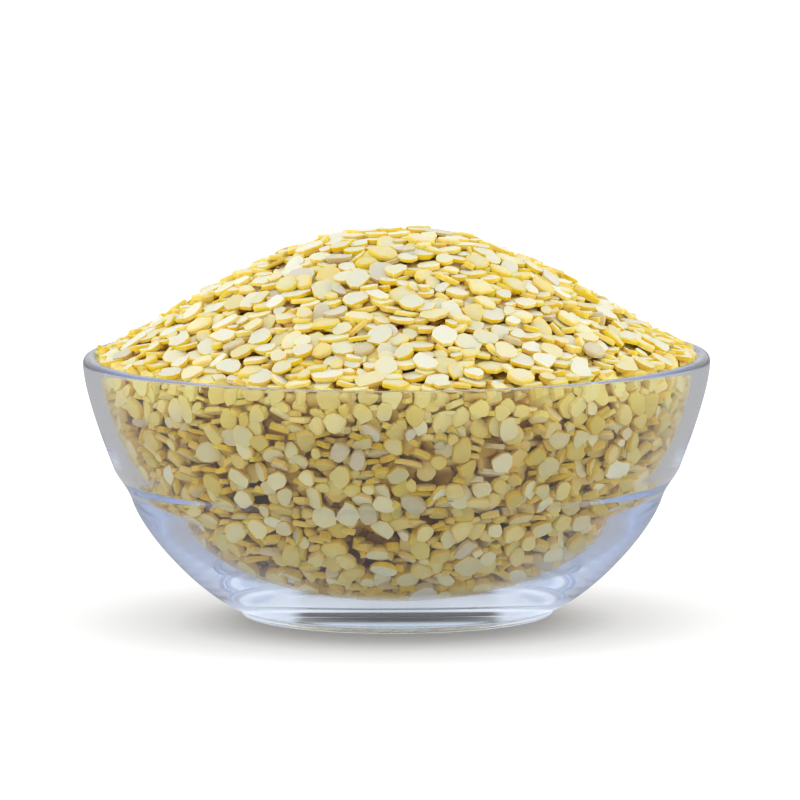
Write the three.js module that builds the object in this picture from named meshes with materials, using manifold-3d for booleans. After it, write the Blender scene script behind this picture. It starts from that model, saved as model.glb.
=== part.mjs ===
// A clear pressed-glass bowl, heaped well over its rim with split lentils.
// Millimetres, +Z up. The origin is the middle of the foot ring, on the surface that the bowl stands on.

import * as THREE from 'three';
import { mergeVertices } from 'three/addons/utils/BufferGeometryUtils.js';
import Module from 'manifold-3d';

const wasm = await Module();
wasm.setup();

// Bowl: a body of revolution on a foot ring, with a soft stacking ledge half way up its wall.
const RIM_RADIUS = 60;
const RIM_INNER_RADIUS = 57;
const RIM_ROUNDING = 1.4;
const BOWL_HEIGHT = 49.9;
const FOOT_RADIUS = 30;
const FOOT_EDGE_HEIGHT = 1.2;
const FOOT_RING_OUTER_RADIUS = 29;
const FOOT_RING_INNER_RADIUS = 26.6;
const RECESS_FLAT_RADIUS = 24.6;
const RECESS_DEPTH = 1.5;
const FLOOR_HEIGHT = 4.5;
const FLOOR_FLAT_RADIUS = 22.9;

// The ledge, as the radius and height of its two edges, outside and inside.
const OUTER_LEDGE = { low: point(50.9, 22.8), high: point(54.1, 28.2) };
const INNER_LEDGE = { low: point(48.7, 25.7), high: point(50.45, 28) };

// How the wall bulges between its ends: the two control points of each stretch.
const OUTER_LOWER_BULGE = [point(36.5, 3.1), point(48.6, 15.2)];
const OUTER_LEDGE_BULGE = [point(51.75, 25), point(53, 26.2)];
const OUTER_UPPER_BULGE = [point(56, 33), point(59.8, 43)];
const INNER_UPPER_BULGE = [point(56.7, 42.7), point(52.4, 31.05)];
const INNER_LEDGE_BULGE = [point(50.13, 27.2), point(49.05, 26.4)];
const INNER_LOWER_BULGE = [point(44.15, 15), point(30.9, 4.9)];

// How finely the bowl is cut into flat faces.
const BOWL_SIDES = 48;
const WALL_STEP = 5.8;
const FEWEST_STEPS = 3;
const ROUNDING_STEPS = 2;

// Heap: its crown over the rim, and how steeply its sides fall.
const CROWN_HEIGHT = 24.6;
const SIDE_FALL = 1.44;
const HEAP_EDGE_RADIUS = 56.2;
const MOUND_STEPS = 14;
const FLOOR_STEPS = 4;
const WALL_GAP = 0.45;

// Bumps: the heap's surface is a net of bumps as big as a lentil, coarser low in the bowl.
const BUMP_PITCH = 5;
const LOW_BUMP_PITCH = 7;
const ROW_SPACING = Math.sqrt(3) / 2;
const FEWEST_BUMPS = 5;
const BUMP_SHIFT = 0.24;
const BUMP_UNEVENNESS = 0.8;
const HOLLOW_DEPTH = { least: 1.3, most: 2.1 };

// Lentils: each is half of a whole one, with a flat oval face and a domed back.
const LENTIL_LENGTH = 4.9;
const LENTIL_WIDTH = 4.1;
const LENTIL_THICKNESS = 1.6;
const LENTIL_EDGE_HEIGHT = 0.3;
const LENTIL_SHOULDER_RADIUS = 1.9;
const LENTIL_SHOULDER_HEIGHT = 1.3;
const LENTIL_SIDES = 7;

// Loose lentils: how many lie whole on the mound, how far out, how high and how tilted.
const LOOSE_LENTILS = 115;
const LOOSE_RADIUS = 53;
const LOOSE_RISE = 0.6;
const LOOSE_TILT = 0.5;

const TURN = 2 * Math.PI;
const GOLDEN_TURN = Math.PI * (3 - Math.sqrt(5));
const UP = new THREE.Vector3(0, 0, 1);

const glass = new THREE.MeshStandardMaterial({ color: 0xdfe8f2, roughness: 0.05, metalness: 0 });
const lentilYellow = new THREE.MeshStandardMaterial({ color: 0xe9d389, roughness: 0.6, metalness: 0 });

const random = seededRandom(20);

const dish = new THREE.Group();
dish.add(named('bowl', bowl(), glass));
dish.add(named('lentils', heap(), lentilYellow));

function point(radius, height) {
  return new THREE.Vector2(radius, height);
}

function named(name, geometry, material) {
  const mesh = new THREE.Mesh(geometry, material);
  mesh.name = name;
  return mesh;
}

function seededRandom(seed) {
  let state = seed;
  return () => {
    state = (state * 1664525 + 1013904223) % 4294967296;
    return state / 4294967296;
  };
}

function between(low, high) {
  return low + (high - low) * random();
}

// ---- bowl ----

function bulge(start, [first, second], end) {
  const curve = new THREE.CubicBezierCurve(start, first, second, end);
  return curve.getPoints(Math.max(Math.ceil(curve.getLength() / WALL_STEP), FEWEST_STEPS));
}

function rounded(start, corner, end) {
  return new THREE.QuadraticBezierCurve(start, corner, end).getPoints(ROUNDING_STEPS);
}

// One line through stretches that each begin where the one before ends.
function joined(stretches) {
  return stretches.flatMap((points, index) => (index > 0 ? points.slice(1) : points));
}

// The inside of the bowl, from the rim down to the edge of the flat floor.
function innerWall() {
  const rim = point(RIM_INNER_RADIUS, BOWL_HEIGHT - RIM_ROUNDING);
  const floor = point(FLOOR_FLAT_RADIUS, FLOOR_HEIGHT);
  return joined([
    bulge(rim, INNER_UPPER_BULGE, INNER_LEDGE.high),
    bulge(INNER_LEDGE.high, INNER_LEDGE_BULGE, INNER_LEDGE.low),
    bulge(INNER_LEDGE.low, INNER_LOWER_BULGE, floor),
  ]);
}

// The outside of the bowl, from the middle of the recess under it, over the foot ring, up to the rim.
function outerWall() {
  const recessEdge = point(RECESS_FLAT_RADIUS, RECESS_DEPTH);
  const ringInside = point(FOOT_RING_INNER_RADIUS, 0);
  const ringOutside = point(FOOT_RING_OUTER_RADIUS, 0);
  const footEdge = point(FOOT_RADIUS, FOOT_EDGE_HEIGHT);
  const rim = point(RIM_RADIUS, BOWL_HEIGHT - RIM_ROUNDING);
  return joined([
    [point(0, RECESS_DEPTH), recessEdge],
    rounded(recessEdge, point(FOOT_RING_INNER_RADIUS, RECESS_DEPTH), ringInside),
    [ringInside, ringOutside],
    rounded(ringOutside, point(FOOT_RADIUS, 0), footEdge),
    bulge(footEdge, OUTER_LOWER_BULGE, OUTER_LEDGE.low),
    bulge(OUTER_LEDGE.low, OUTER_LEDGE_BULGE, OUTER_LEDGE.high),
    bulge(OUTER_LEDGE.high, OUTER_UPPER_BULGE, rim),
  ]);
}

// The flat top of the rim with its two rounded edges, from the outside in.
function rimTop() {
  const edge = BOWL_HEIGHT - RIM_ROUNDING;
  const outside = point(RIM_RADIUS - RIM_ROUNDING, BOWL_HEIGHT);
  const inside = point(RIM_INNER_RADIUS + RIM_ROUNDING, BOWL_HEIGHT);
  return joined([
    rounded(point(RIM_RADIUS, edge), point(RIM_RADIUS, BOWL_HEIGHT), outside),
    [outside, inside],
    rounded(inside, point(RIM_INNER_RADIUS, BOWL_HEIGHT), point(RIM_INNER_RADIUS, edge)),
  ]);
}

function revolve(section, sides) {
  const geometry = new THREE.LatheGeometry(section, sides);
  geometry.rotateX(Math.PI / 2);
  return geometry;
}

function bowl() {
  const section = [...joined([outerWall(), rimTop(), innerWall()]), point(0, FLOOR_HEIGHT)];
  return revolve(section, BOWL_SIDES);
}

// ---- heap ----

function moundHeight(radius) {
  const reach = Math.min(radius / RIM_RADIUS, 1);
  return BOWL_HEIGHT + CROWN_HEIGHT * (1 - reach * reach) ** SIDE_FALL;
}

// The outline from the crown over the mound to the rim, then down inside the glass to the floor.
function heapOutline() {
  const mound = [];
  for (let step = 0; step <= MOUND_STEPS; step++) {
    const radius = HEAP_EDGE_RADIUS * step / MOUND_STEPS;
    mound.push(point(radius, moundHeight(radius)));
  }
  const wall = innerWall().map(({ x, y }) => point(x - WALL_GAP, y + WALL_GAP));
  const floor = [];
  for (let step = FLOOR_STEPS - 1; step >= 0; step--) {
    floor.push(point(FLOOR_FLAT_RADIUS * step / FLOOR_STEPS, FLOOR_HEIGHT + WALL_GAP));
  }
  return new THREE.SplineCurve([...mound, ...wall, ...floor]);
}

// One bump's top, on the outline or a little below it, turned to its place round the heap.
function bumpTop(outline, along, angle) {
  const place = outline.getPointAt(THREE.MathUtils.clamp(along, 0, 1));
  const slope = outline.getTangentAt(THREE.MathUtils.clamp(along, 0, 1));
  const sink = between(0, BUMP_UNEVENNESS);
  const radius = Math.max(place.x + slope.y * sink, 0);
  const height = place.y - slope.x * sink;
  return new THREE.Vector3(radius * Math.cos(angle), radius * Math.sin(angle), height);
}

// Rings of bumps from the crown to the middle of the floor, with one bump at either end.
function bumpRings(outline) {
  const length = outline.getLength();
  const rings = [bumpRing(outline, 0, 1, BUMP_PITCH)];
  let along = BUMP_PITCH * ROW_SPACING;
  let pitch = BUMP_PITCH;
  while (along < length - pitch / 2) {
    const place = outline.getPointAt(along / length);
    pitch = place.y > INNER_LEDGE.high.y ? BUMP_PITCH : LOW_BUMP_PITCH;
    const count = Math.max(Math.round(TURN * place.x / pitch), FEWEST_BUMPS);
    rings.push(bumpRing(outline, along / length, count, pitch));
    along += pitch * ROW_SPACING;
  }
  rings.push(bumpRing(outline, 1, 1, pitch));
  return rings;
}

function bumpRing(outline, along, count, pitch) {
  const start = random();
  const ring = [];
  for (let index = 0; index < count; index++) {
    const angle = TURN * (index + start + between(-BUMP_SHIFT, BUMP_SHIFT)) / count;
    const shift = between(-BUMP_SHIFT, BUMP_SHIFT) * pitch / outline.getLength();
    ring.push({ angle, top: bumpTop(outline, count > 1 ? along + shift : along, angle) });
  }
  return ring;
}

// Triangles between two rings of bumps, taking the next bump of whichever ring is behind.
function zipRings(upper, lower) {
  const triangles = [];
  const bump = (ring, index) => ring[index % ring.length];
  const turned = (ring, index) => bump(ring, index).angle + TURN * Math.floor(index / ring.length);
  const upperSteps = upper.length > 1 ? upper.length : 0;
  const lowerSteps = lower.length > 1 ? lower.length : 0;
  let high = 0;
  let low = 0;
  while (high < upperSteps || low < lowerSteps) {
    const upperBehind = turned(upper, high + 1) < turned(lower, low + 1);
    if (low >= lowerSteps || (high < upperSteps && upperBehind)) {
      triangles.push([bump(upper, high), bump(lower, low), bump(upper, high + 1)]);
      high++;
    } else {
      triangles.push([bump(upper, high), bump(lower, low), bump(lower, low + 1)]);
      low++;
    }
  }
  return triangles;
}

// The surface dips to a hollow between every three bumps, as between three grains.
function hollowBetween(bumps) {
  const triangle = new THREE.Triangle(...bumps.map((bump) => bump.top));
  const hollow = triangle.getMidpoint(new THREE.Vector3());
  const outward = triangle.getNormal(new THREE.Vector3());
  return hollow.addScaledVector(outward, -between(HOLLOW_DEPTH.least, HOLLOW_DEPTH.most));
}

// Each bump is a low pyramid, whose foot runs from hollow to hollow round its top.
function bumpyHeap() {
  const rings = bumpRings(heapOutline());
  const hollows = new Map(rings.flat().map((bump) => [bump, new Map()]));
  for (let index = 1; index < rings.length; index++) {
    for (const [a, b, c] of zipRings(rings[index - 1], rings[index])) {
      const hollow = hollowBetween([a, b, c]);
      hollows.get(a).set(b, hollow);
      hollows.get(b).set(c, hollow);
      hollows.get(c).set(a, hollow);
    }
  }
  const corners = [];
  for (const [bump, leftHollows] of hollows) {
    for (const [neighbour, leftHollow] of leftHollows) {
      corners.push(bump.top, hollows.get(neighbour).get(bump), leftHollow);
    }
  }
  return new THREE.BufferGeometry().setFromPoints(corners);
}

// One half lentil, its flat face down and its middle at the origin.
function lentil() {
  const base = -LENTIL_THICKNESS / 2;
  const section = [
    point(0, base),
    point(LENTIL_LENGTH / 2, base + LENTIL_EDGE_HEIGHT),
    point(LENTIL_SHOULDER_RADIUS, base + LENTIL_SHOULDER_HEIGHT),
    point(0, base + LENTIL_THICKNESS),
  ];
  const geometry = revolve(section, LENTIL_SIDES);
  geometry.scale(1, LENTIL_WIDTH / LENTIL_LENGTH, 1);
  return geometry;
}

// Whole lentils lying loose on the mound, spread evenly, either side up and each tilted its own way.
function looseLentils() {
  const lentils = [];
  for (let index = 0; index < LOOSE_LENTILS; index++) {
    const radius = LOOSE_RADIUS * Math.sqrt((index + 0.5) / LOOSE_LENTILS);
    const angle = index * GOLDEN_TURN;
    const height = moundHeight(radius) + between(0, LOOSE_RISE);
    const place = new THREE.Vector3(radius * Math.cos(angle), radius * Math.sin(angle), height);
    const turn = new THREE.Quaternion().setFromUnitVectors(UP, moundNormal(radius, angle));
    turn.multiply(new THREE.Quaternion().setFromEuler(looseTilt()));
    const geometry = lentil();
    geometry.applyQuaternion(turn);
    geometry.translate(place.x, place.y, place.z);
    lentils.push(geometry);
  }
  return lentils;
}

function looseTilt() {
  const turnedOver = random() < 0.5 ? Math.PI : 0;
  const lean = between(-LOOSE_TILT, LOOSE_TILT);
  const tip = between(-LOOSE_TILT, LOOSE_TILT);
  return new THREE.Euler(turnedOver + lean, tip, between(0, TURN));
}

function moundNormal(radius, angle) {
  const step = 0.5;
  const fall = (moundHeight(radius) - moundHeight(radius + step)) / step;
  return new THREE.Vector3(fall * Math.cos(angle), fall * Math.sin(angle), 1).normalize();
}

function heap() {
  const whole = looseLentils().reduce((sum, geometry) => sum.add(solidOf(geometry)), solidOf(bumpyHeap()));
  return geometryOf(largestBody(whole));
}

// ---- solids ----

function solidOf(geometry) {
  geometry.deleteAttribute('normal');
  geometry.deleteAttribute('uv');
  const merged = mergeVertices(geometry, 0.001);
  const index = merged.index.array;
  const triangles = [];
  for (let start = 0; start < index.length; start += 3) {
    const [a, b, c] = index.slice(start, start + 3);
    if (a !== b && b !== c && c !== a) {
      triangles.push(a, b, c);
    }
  }
  const mesh = new wasm.Mesh({
    numProp: 3,
    vertProperties: merged.attributes.position.array,
    triVerts: new Uint32Array(triangles),
  });
  return new wasm.Manifold(mesh);
}

// The outermost skin of the largest body: small hollows shut in between fused lentils are filled.
function largestBody(solid) {
  return solid.decompose().reduce((largest, body) => (body.volume() > largest.volume() ? body : largest));
}

function geometryOf(solid) {
  const mesh = solid.getMesh();
  const geometry = new THREE.BufferGeometry();
  geometry.setAttribute('position', new THREE.BufferAttribute(mesh.vertProperties, mesh.numProp));
  geometry.setIndex(new THREE.BufferAttribute(mesh.triVerts, 1));
  return geometry;
}

export default dish;
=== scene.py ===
"""A clear pressed-glass bowl heaped with dry split lentils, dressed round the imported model."""

import math
from collections import namedtuple

import bpy
import numpy as np
from mathutils import Matrix, Vector

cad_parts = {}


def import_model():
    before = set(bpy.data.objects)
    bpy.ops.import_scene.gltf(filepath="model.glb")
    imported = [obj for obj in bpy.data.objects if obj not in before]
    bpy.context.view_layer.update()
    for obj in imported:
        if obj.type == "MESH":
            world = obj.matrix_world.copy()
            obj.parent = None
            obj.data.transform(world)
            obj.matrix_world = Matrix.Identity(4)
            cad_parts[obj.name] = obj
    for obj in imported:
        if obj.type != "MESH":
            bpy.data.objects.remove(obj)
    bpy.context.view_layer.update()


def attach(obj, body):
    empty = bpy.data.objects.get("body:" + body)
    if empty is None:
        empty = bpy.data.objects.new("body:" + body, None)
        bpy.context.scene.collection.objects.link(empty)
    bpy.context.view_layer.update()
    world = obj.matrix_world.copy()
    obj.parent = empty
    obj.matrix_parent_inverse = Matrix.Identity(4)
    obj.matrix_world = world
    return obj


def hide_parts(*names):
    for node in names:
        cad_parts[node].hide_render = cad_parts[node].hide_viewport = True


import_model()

MM = 0.001
TURN = 2 * math.pi

# Bowl, in millimetres: radii and heights of its section.
RIM_RADIUS = 60.0
RIM_INNER_RADIUS = 57.0
RIM_ROUNDING = 1.4
BOWL_HEIGHT = 49.9
FOOT_RADIUS = 30.0
FOOT_EDGE_HEIGHT = 1.2
FOOT_RING_OUTER_RADIUS = 29.0
FOOT_RING_INNER_RADIUS = 26.6
RECESS_FLAT_RADIUS = 24.6
RECESS_DEPTH = 1.5
FLOOR_HEIGHT = 4.5
FLOOR_FLAT_RADIUS = 22.9
OUTER_LEDGE_LOW = (50.9, 22.8)
OUTER_LEDGE_HIGH = (54.1, 28.2)
OUTER_LEDGE_BULGE = ((51.75, 25.0), (53.0, 26.2))
INNER_LEDGE_LOW = (48.7, 25.7)
INNER_LEDGE_HIGH = (50.45, 28.0)
INNER_LEDGE_BULGE = ((50.13, 27.2), (49.05, 26.4))
OUTER_LOWER_BULGE = ((36.5, 3.1), (48.6, 15.2))
OUTER_UPPER_BULGE = ((56.0, 33.0), (59.8, 43.0))
INNER_UPPER_BULGE = ((56.7, 42.7), (52.4, 31.05))
INNER_LOWER_BULGE = ((44.15, 15.0), (30.9, 4.9))
BOWL_SIDES = 360
# Steps along the stretches of the section.
LEDGE_STEPS = 10
UPPER_STEPS = 24
OUTER_LOWER_STEPS = 32
INNER_LOWER_STEPS = 40
ROUNDING_STEPS = 8

# Heap, in millimetres: its crown over the rim, and how steeply its sides fall.
CROWN_HEIGHT = 24.6
SIDE_FALL = 1.44
MOUND_RADIUS = 56.0

# Grains, in millimetres: a flat cut face and a domed back. Whole ones and chips differ in size by these
# scales, and each one's length, width and thickness by the spread of its shape.
GRAIN_LENGTH = 4.35
GRAIN_WIDTH = 3.7
GRAIN_THICKNESS = 1.0
GRAIN_SIDES = 11
MOUND_GRAIN_SCALE = 1.18
SIZE_SPREAD = 0.1
SHAPE_SPREAD = (0.06, 0.07, 0.14)
SHAPE_LIMITS = (0.7, 1.3)
CHIP_SCALES = (0.5, 0.8)
# Its outline: from oval to squarish, uneven in waves, and for each break the chance that a side is
# broken off, with the least and most that is left of the way out to it.
SQUARENESS = (2.1, 4.0)
OUTLINE_WAVES = ((2, 0.03), (3, 0.045), (5, 0.03))
BREAKS = ((0.75, 0.66, 0.92), (0.6, 0.7, 0.92), (0.35, 0.75, 0.95), (0.1, 0.25, 0.6))
# Its rings, from the flat cut face to the domed back: how far out, and how far up.
GRAIN_RINGS = ((0.99, 0.0), (1.0, 0.66), (0.88, 0.95))
BACK_UNEVEN = 0.05
SHARP_EDGE = math.radians(40)
# How golden it is at each ring, and at the edge of its cut face: the golden sides are a painted glow,
# for light that soaks through the grain's thin edges.
GOLDEN_AT_RINGS = (1.0, 1.0, 0.45)
GOLDEN_CUT_EDGE = 0.15

# Packing, in millimetres: the layer of grains inside the wall, the mound's core under its outline, how
# deep the grains on that core have to lie, and the spacing of the sites that they land on.
WALL_DEPTH = 4.3
MOUND_DEPTH = 5.0
MOUND_FILL = 3.5
WALL_SPACING = 1.5
MOUND_SPACING = 1.4
# How many ways round a grain is tried, how far it leans, in radians, and how far it lands off its site.
WALL_TRIES, MOUND_TRIES = 3, 5
WALL_LEAN, MOUND_LEAN = 0.7, 0.4
WALL_SHIFT, MOUND_SHIFT = 0.5, 0.6
MOST_GRAINS = 12500
# The distance to the mound's sloping outline, as a share of the height up to it.
ACROSS_SLOPE = 0.85
# The share of the grains that lie level, as they fell: how much of the slope they make up for, and how
# far they turn from it, in radians.
LEVEL_SHARE = 0.5
LEVEL_SLOPES = (0.5, 1.1)
LEVEL_SPREAD = 0.3
# The share of the grains that lie cut side down. Those right at the glass do so more, and lean less.
CUT_DOWN = 0.5
LOWEST_CUT_DOWN = 0.65
LOWEST_LEAN = 0.4
LOWEST_HEIGHT = 0.3
# A grain covers the sites this far beyond its edge. A chip is tried where a whole grain would lie this
# far over its site.
COVER = 0.25
HOLLOW = 0.95

FAR_AWAY = 1e9
TINY = 1e-6
SEED = 7
rng = np.random.default_rng(SEED)


# ---- bowl ----


def bezier(start, controls, end, steps):
    """Points along a cubic curve."""
    t = np.linspace(0, 1, steps + 1)[:, None]
    a, b, c, d = (np.array(p, float) for p in (start, *controls, end))
    return (1 - t) ** 3 * a + 3 * (1 - t) ** 2 * t * b + 3 * (1 - t) * t**2 * c + t**3 * d


def rounded(start, corner, end):
    """Points round a corner."""
    t = np.linspace(0, 1, ROUNDING_STEPS + 1)[:, None]
    a, b, c = (np.array(p, float) for p in (start, corner, end))
    return (1 - t) ** 2 * a + 2 * (1 - t) * t * b + t**2 * c


def joined(stretches):
    """One line of points from stretches that each start where the last one ends."""
    return np.vstack([np.array(s, float)[1 if k else 0 :] for k, s in enumerate(stretches)])


def inner_wall():
    """Radii and heights from the rim's inner edge down to the middle of the floor."""
    edge = BOWL_HEIGHT - RIM_ROUNDING
    floor_edge = (FLOOR_FLAT_RADIUS, FLOOR_HEIGHT)
    return joined([
        bezier((RIM_INNER_RADIUS, edge), INNER_UPPER_BULGE, INNER_LEDGE_HIGH, UPPER_STEPS),
        bezier(INNER_LEDGE_HIGH, INNER_LEDGE_BULGE, INNER_LEDGE_LOW, LEDGE_STEPS),
        bezier(INNER_LEDGE_LOW, INNER_LOWER_BULGE, floor_edge, INNER_LOWER_STEPS),
        [floor_edge, (0, FLOOR_HEIGHT)],
    ])


def outer_wall():
    """Radii and heights from the middle of the recess, over the foot ring, up to the rim."""
    recess = (RECESS_FLAT_RADIUS, RECESS_DEPTH)
    ring_in = (FOOT_RING_INNER_RADIUS, 0)
    ring_out = (FOOT_RING_OUTER_RADIUS, 0)
    foot = (FOOT_RADIUS, FOOT_EDGE_HEIGHT)
    edge = (RIM_RADIUS, BOWL_HEIGHT - RIM_ROUNDING)
    return joined([
        [(0, RECESS_DEPTH), recess],
        rounded(recess, (FOOT_RING_INNER_RADIUS, RECESS_DEPTH), ring_in),
        [ring_in, ring_out],
        rounded(ring_out, (FOOT_RADIUS, 0), foot),
        bezier(foot, OUTER_LOWER_BULGE, OUTER_LEDGE_LOW, OUTER_LOWER_STEPS),
        bezier(OUTER_LEDGE_LOW, OUTER_LEDGE_BULGE, OUTER_LEDGE_HIGH, LEDGE_STEPS),
        bezier(OUTER_LEDGE_HIGH, OUTER_UPPER_BULGE, edge, UPPER_STEPS),
    ])


def rim_top():
    """Radii and heights over the rim, from its outer edge to its inner one."""
    edge = BOWL_HEIGHT - RIM_ROUNDING
    outside = (RIM_RADIUS - RIM_ROUNDING, BOWL_HEIGHT)
    inside = (RIM_INNER_RADIUS + RIM_ROUNDING, BOWL_HEIGHT)
    return joined([
        rounded((RIM_RADIUS, edge), (RIM_RADIUS, BOWL_HEIGHT), outside),
        [outside, inside],
        rounded(inside, (RIM_INNER_RADIUS, BOWL_HEIGHT), (RIM_INNER_RADIUS, edge)),
    ])


def revolve(name, section, sides):
    """A closed body of revolution from a section that starts and ends on the axis."""
    ring = section[1:-1]
    angle = np.arange(sides) / sides * TURN
    x = ring[:, :1] * np.cos(angle)
    y = ring[:, :1] * np.sin(angle)
    z = np.repeat(ring[:, 1:], sides, axis=1)
    verts = np.stack([x, y, z], -1).reshape(-1, 3)
    first, last = len(verts), len(verts) + 1
    verts = np.vstack([verts, [(0, 0, section[0, 1])], [(0, 0, section[-1, 1])]]) * MM
    faces = []
    for row in range(len(ring) - 1):
        for k in range(sides):
            a = row * sides + k
            b = row * sides + (k + 1) % sides
            faces.append((a, b, b + sides, a + sides))
    top = (len(ring) - 1) * sides
    for k in range(sides):
        faces.append((first, (k + 1) % sides, k))
        faces.append((last, top + k, top + (k + 1) % sides))
    mesh = bpy.data.meshes.new(name)
    mesh.from_pydata(verts.tolist(), [], faces)
    mesh.shade_smooth()
    piece = bpy.data.objects.new(name, mesh)
    bpy.context.collection.objects.link(piece)
    return piece


# ---- packing the grains ----


def mound_height(x, y):
    """The height of the heap's outline over a point, in millimetres."""
    reach = np.minimum(np.hypot(x, y) / RIM_RADIUS, 1)
    return BOWL_HEIGHT + CROWN_HEIGHT * (1 - reach**2) ** SIDE_FALL


class WallField:
    """How far a point is from the inside of the bowl, read from a grid over radius and height."""

    CELL = 0.25
    BEYOND_RIM = 4
    OVER_RIM = 34

    def __init__(self):
        rim = [(RIM_RADIUS, BOWL_HEIGHT), (RIM_INNER_RADIUS + RIM_ROUNDING, BOWL_HEIGHT)]
        wall = np.vstack([rim, inner_wall()])
        radius = np.arange(0, RIM_RADIUS + self.BEYOND_RIM, self.CELL)
        height = np.arange(0, BOWL_HEIGHT + self.OVER_RIM, self.CELL)
        r, z = np.meshgrid(radius, height, indexing="ij")
        far = np.full(r.shape, FAR_AWAY)
        for (ax, az), (bx, bz) in zip(wall[:-1], wall[1:]):
            dx, dz = bx - ax, bz - az
            t = np.clip(((r - ax) * dx + (z - az) * dz) / (dx * dx + dz * dz), 0, 1)
            far = np.minimum(far, np.hypot(r - ax - t * dx, z - az - t * dz))
        above = z > np.interp(r, wall[::-1, 0], wall[::-1, 1])
        self.far = np.where(above, far, -far)

    def __call__(self, p):
        r = np.hypot(p[..., 0], p[..., 1]) / self.CELL
        z = p[..., 2] / self.CELL
        i = np.clip(r.astype(int), 0, self.far.shape[0] - 2)
        j = np.clip(z.astype(int), 0, self.far.shape[1] - 2)
        u, v = r - i, z - j
        f = self.far
        low = f[i, j] * (1 - u) + f[i + 1, j] * u
        high = f[i, j + 1] * (1 - u) + f[i + 1, j + 1] * u
        return low * (1 - v) + high * v


# A grain stands as balls for the packing: a ring at its edge, a ring half-way in, one in the middle. The
# first two are this thick as shares of the grain, and all of them are a little smaller than it.
EDGE_BALL, MID_BALL = 0.25, 0.4
MID_REACH = 0.5
LEAST_REACH = 0.6
LEAST_FACING = 0.05
PRESSED = 0.92
SIDE_ANGLES = np.arange(GRAIN_SIDES) / GRAIN_SIDES * TURN
BALLS = GRAIN_SIDES + (GRAIN_SIDES + 1) // 2 + 1


def grain_outline():
    """How far the edge reaches at each side: an oval to squarish form, often with a side broken off."""
    squareness = rng.uniform(*SQUARENESS)
    c, s = np.abs(np.cos(SIDE_ANGLES)), np.abs(np.sin(SIDE_ANGLES))
    reach = (c**squareness + s**squareness) ** (-1 / squareness)
    for waves, spread in OUTLINE_WAVES:
        reach = reach * (1 + rng.normal(0, spread) * np.cos(waves * SIDE_ANGLES + rng.uniform(0, TURN)))
    for chance, low, high in BREAKS:
        if rng.random() < chance:
            facing = np.cos(SIDE_ANGLES - rng.uniform(0, TURN))
            limit = rng.uniform(low, high) / np.maximum(facing, LEAST_FACING)
            reach = np.minimum(reach, limit)
    return reach


def grain_balls(size, reach):
    """The balls for a grain of this half length, half width and thickness, a little pressed in."""
    a, b, c = size * PRESSED
    edge, mid, main = EDGE_BALL * c, MID_BALL * c, c / 2
    x = a * reach * np.cos(SIDE_ANGLES)
    y = b * reach * np.sin(SIDE_ANGLES)
    inset = 1 - edge / np.maximum(np.hypot(x, y), LEAST_REACH)
    rows = [(x[k] * inset[k], y[k] * inset[k], edge, edge) for k in range(GRAIN_SIDES)]
    rows += [(x[k] * MID_REACH, y[k] * MID_REACH, mid, mid) for k in range(0, GRAIN_SIDES, 2)]
    rows += [(x.mean(), y.mean(), main, main)]
    return np.array(rows)


# A grain in its place: low is the height of its lowest point over its site.
Laid = namedtuple("Laid", "place turn size reach balls low")


class Pile:
    """The grains laid so far, kept as balls in cells, for the next grain to land on."""

    CELL = 5.6

    def __init__(self, most):
        self.balls = np.zeros((most, BALLS, 4))
        self.place = np.zeros((most, 3))
        self.turn = np.zeros((most, 3, 3))
        self.size = np.zeros((most, 3))
        self.reach = np.zeros((most, GRAIN_SIDES))
        self.count = 0
        self.wall_count = 0
        self.cells = {}

    def cell_of(self, p):
        return tuple(int(math.floor(v / self.CELL)) for v in p)

    def near(self, p):
        cx, cy, cz = self.cell_of(p)
        found = []
        for x in (cx - 1, cx, cx + 1):
            for y in (cy - 1, cy, cy + 1):
                for z in (cz - 1, cz, cz + 1):
                    found += self.cells.get((x, y, z), ())
        return self.balls[found].reshape(-1, 4)

    def add(self, laid):
        k = self.count
        self.place[k] = laid.place
        self.turn[k] = laid.turn
        self.size[k] = laid.size
        self.reach[k] = laid.reach
        self.balls[k] = laid.balls
        self.cells.setdefault(self.cell_of(laid.place), []).append(k)
        self.count += 1


def spun_turns(spin, over):
    """Rotations about the upright, some of them also turned over."""
    c, s = np.cos(spin), np.sin(spin)
    turn = np.zeros((len(spin), 3, 3))
    turn[:, 0, 0] = turn[:, 1, 1] = c
    turn[:, 0, 1] = -s
    turn[:, 1, 0] = s
    turn[:, 2, 2] = 1
    turn[over, :, 1] *= -1
    turn[over, :, 2] *= -1
    return turn


def tipped_turns(tip, way):
    """Rotations by these angles about level axes in these directions."""
    ax, ay = np.cos(way), np.sin(way)
    c, s = np.cos(tip), np.sin(tip)
    turn = np.zeros((len(tip), 3, 3))
    turn[:, 0, 0] = c + ax * ax * (1 - c)
    turn[:, 0, 1] = turn[:, 1, 0] = ax * ay * (1 - c)
    turn[:, 1, 1] = c + ay * ay * (1 - c)
    turn[:, 0, 2] = ay * s
    turn[:, 2, 0] = -ay * s
    turn[:, 1, 2] = -ax * s
    turn[:, 2, 1] = ax * s
    turn[:, 2, 2] = c
    return turn


def random_turns(count, lean, cut_down, axes):
    """Rotations of a grain on a surface with these axes, this share of them cut side down.

    Some lie along the surface and lean by about this angle, the others lie more or less level.
    """
    spin = rng.uniform(0, TURN, count)
    tip = np.abs(rng.normal(0, lean, count))
    way = rng.uniform(0, TURN, count)
    slope = math.acos(min(max(axes[2, 2], -1), 1))
    level = rng.random(count) < LEVEL_SHARE
    tip[level] = slope * rng.uniform(*LEVEL_SLOPES, level.sum())
    way[level] = rng.normal(math.pi, LEVEL_SPREAD, level.sum())
    over = rng.random(count) > cut_down
    spun = spun_turns(spin, over)
    return (tipped_turns(tip, way)[:, :, :, None] * spun[:, None, :, :]).sum(2)


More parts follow.
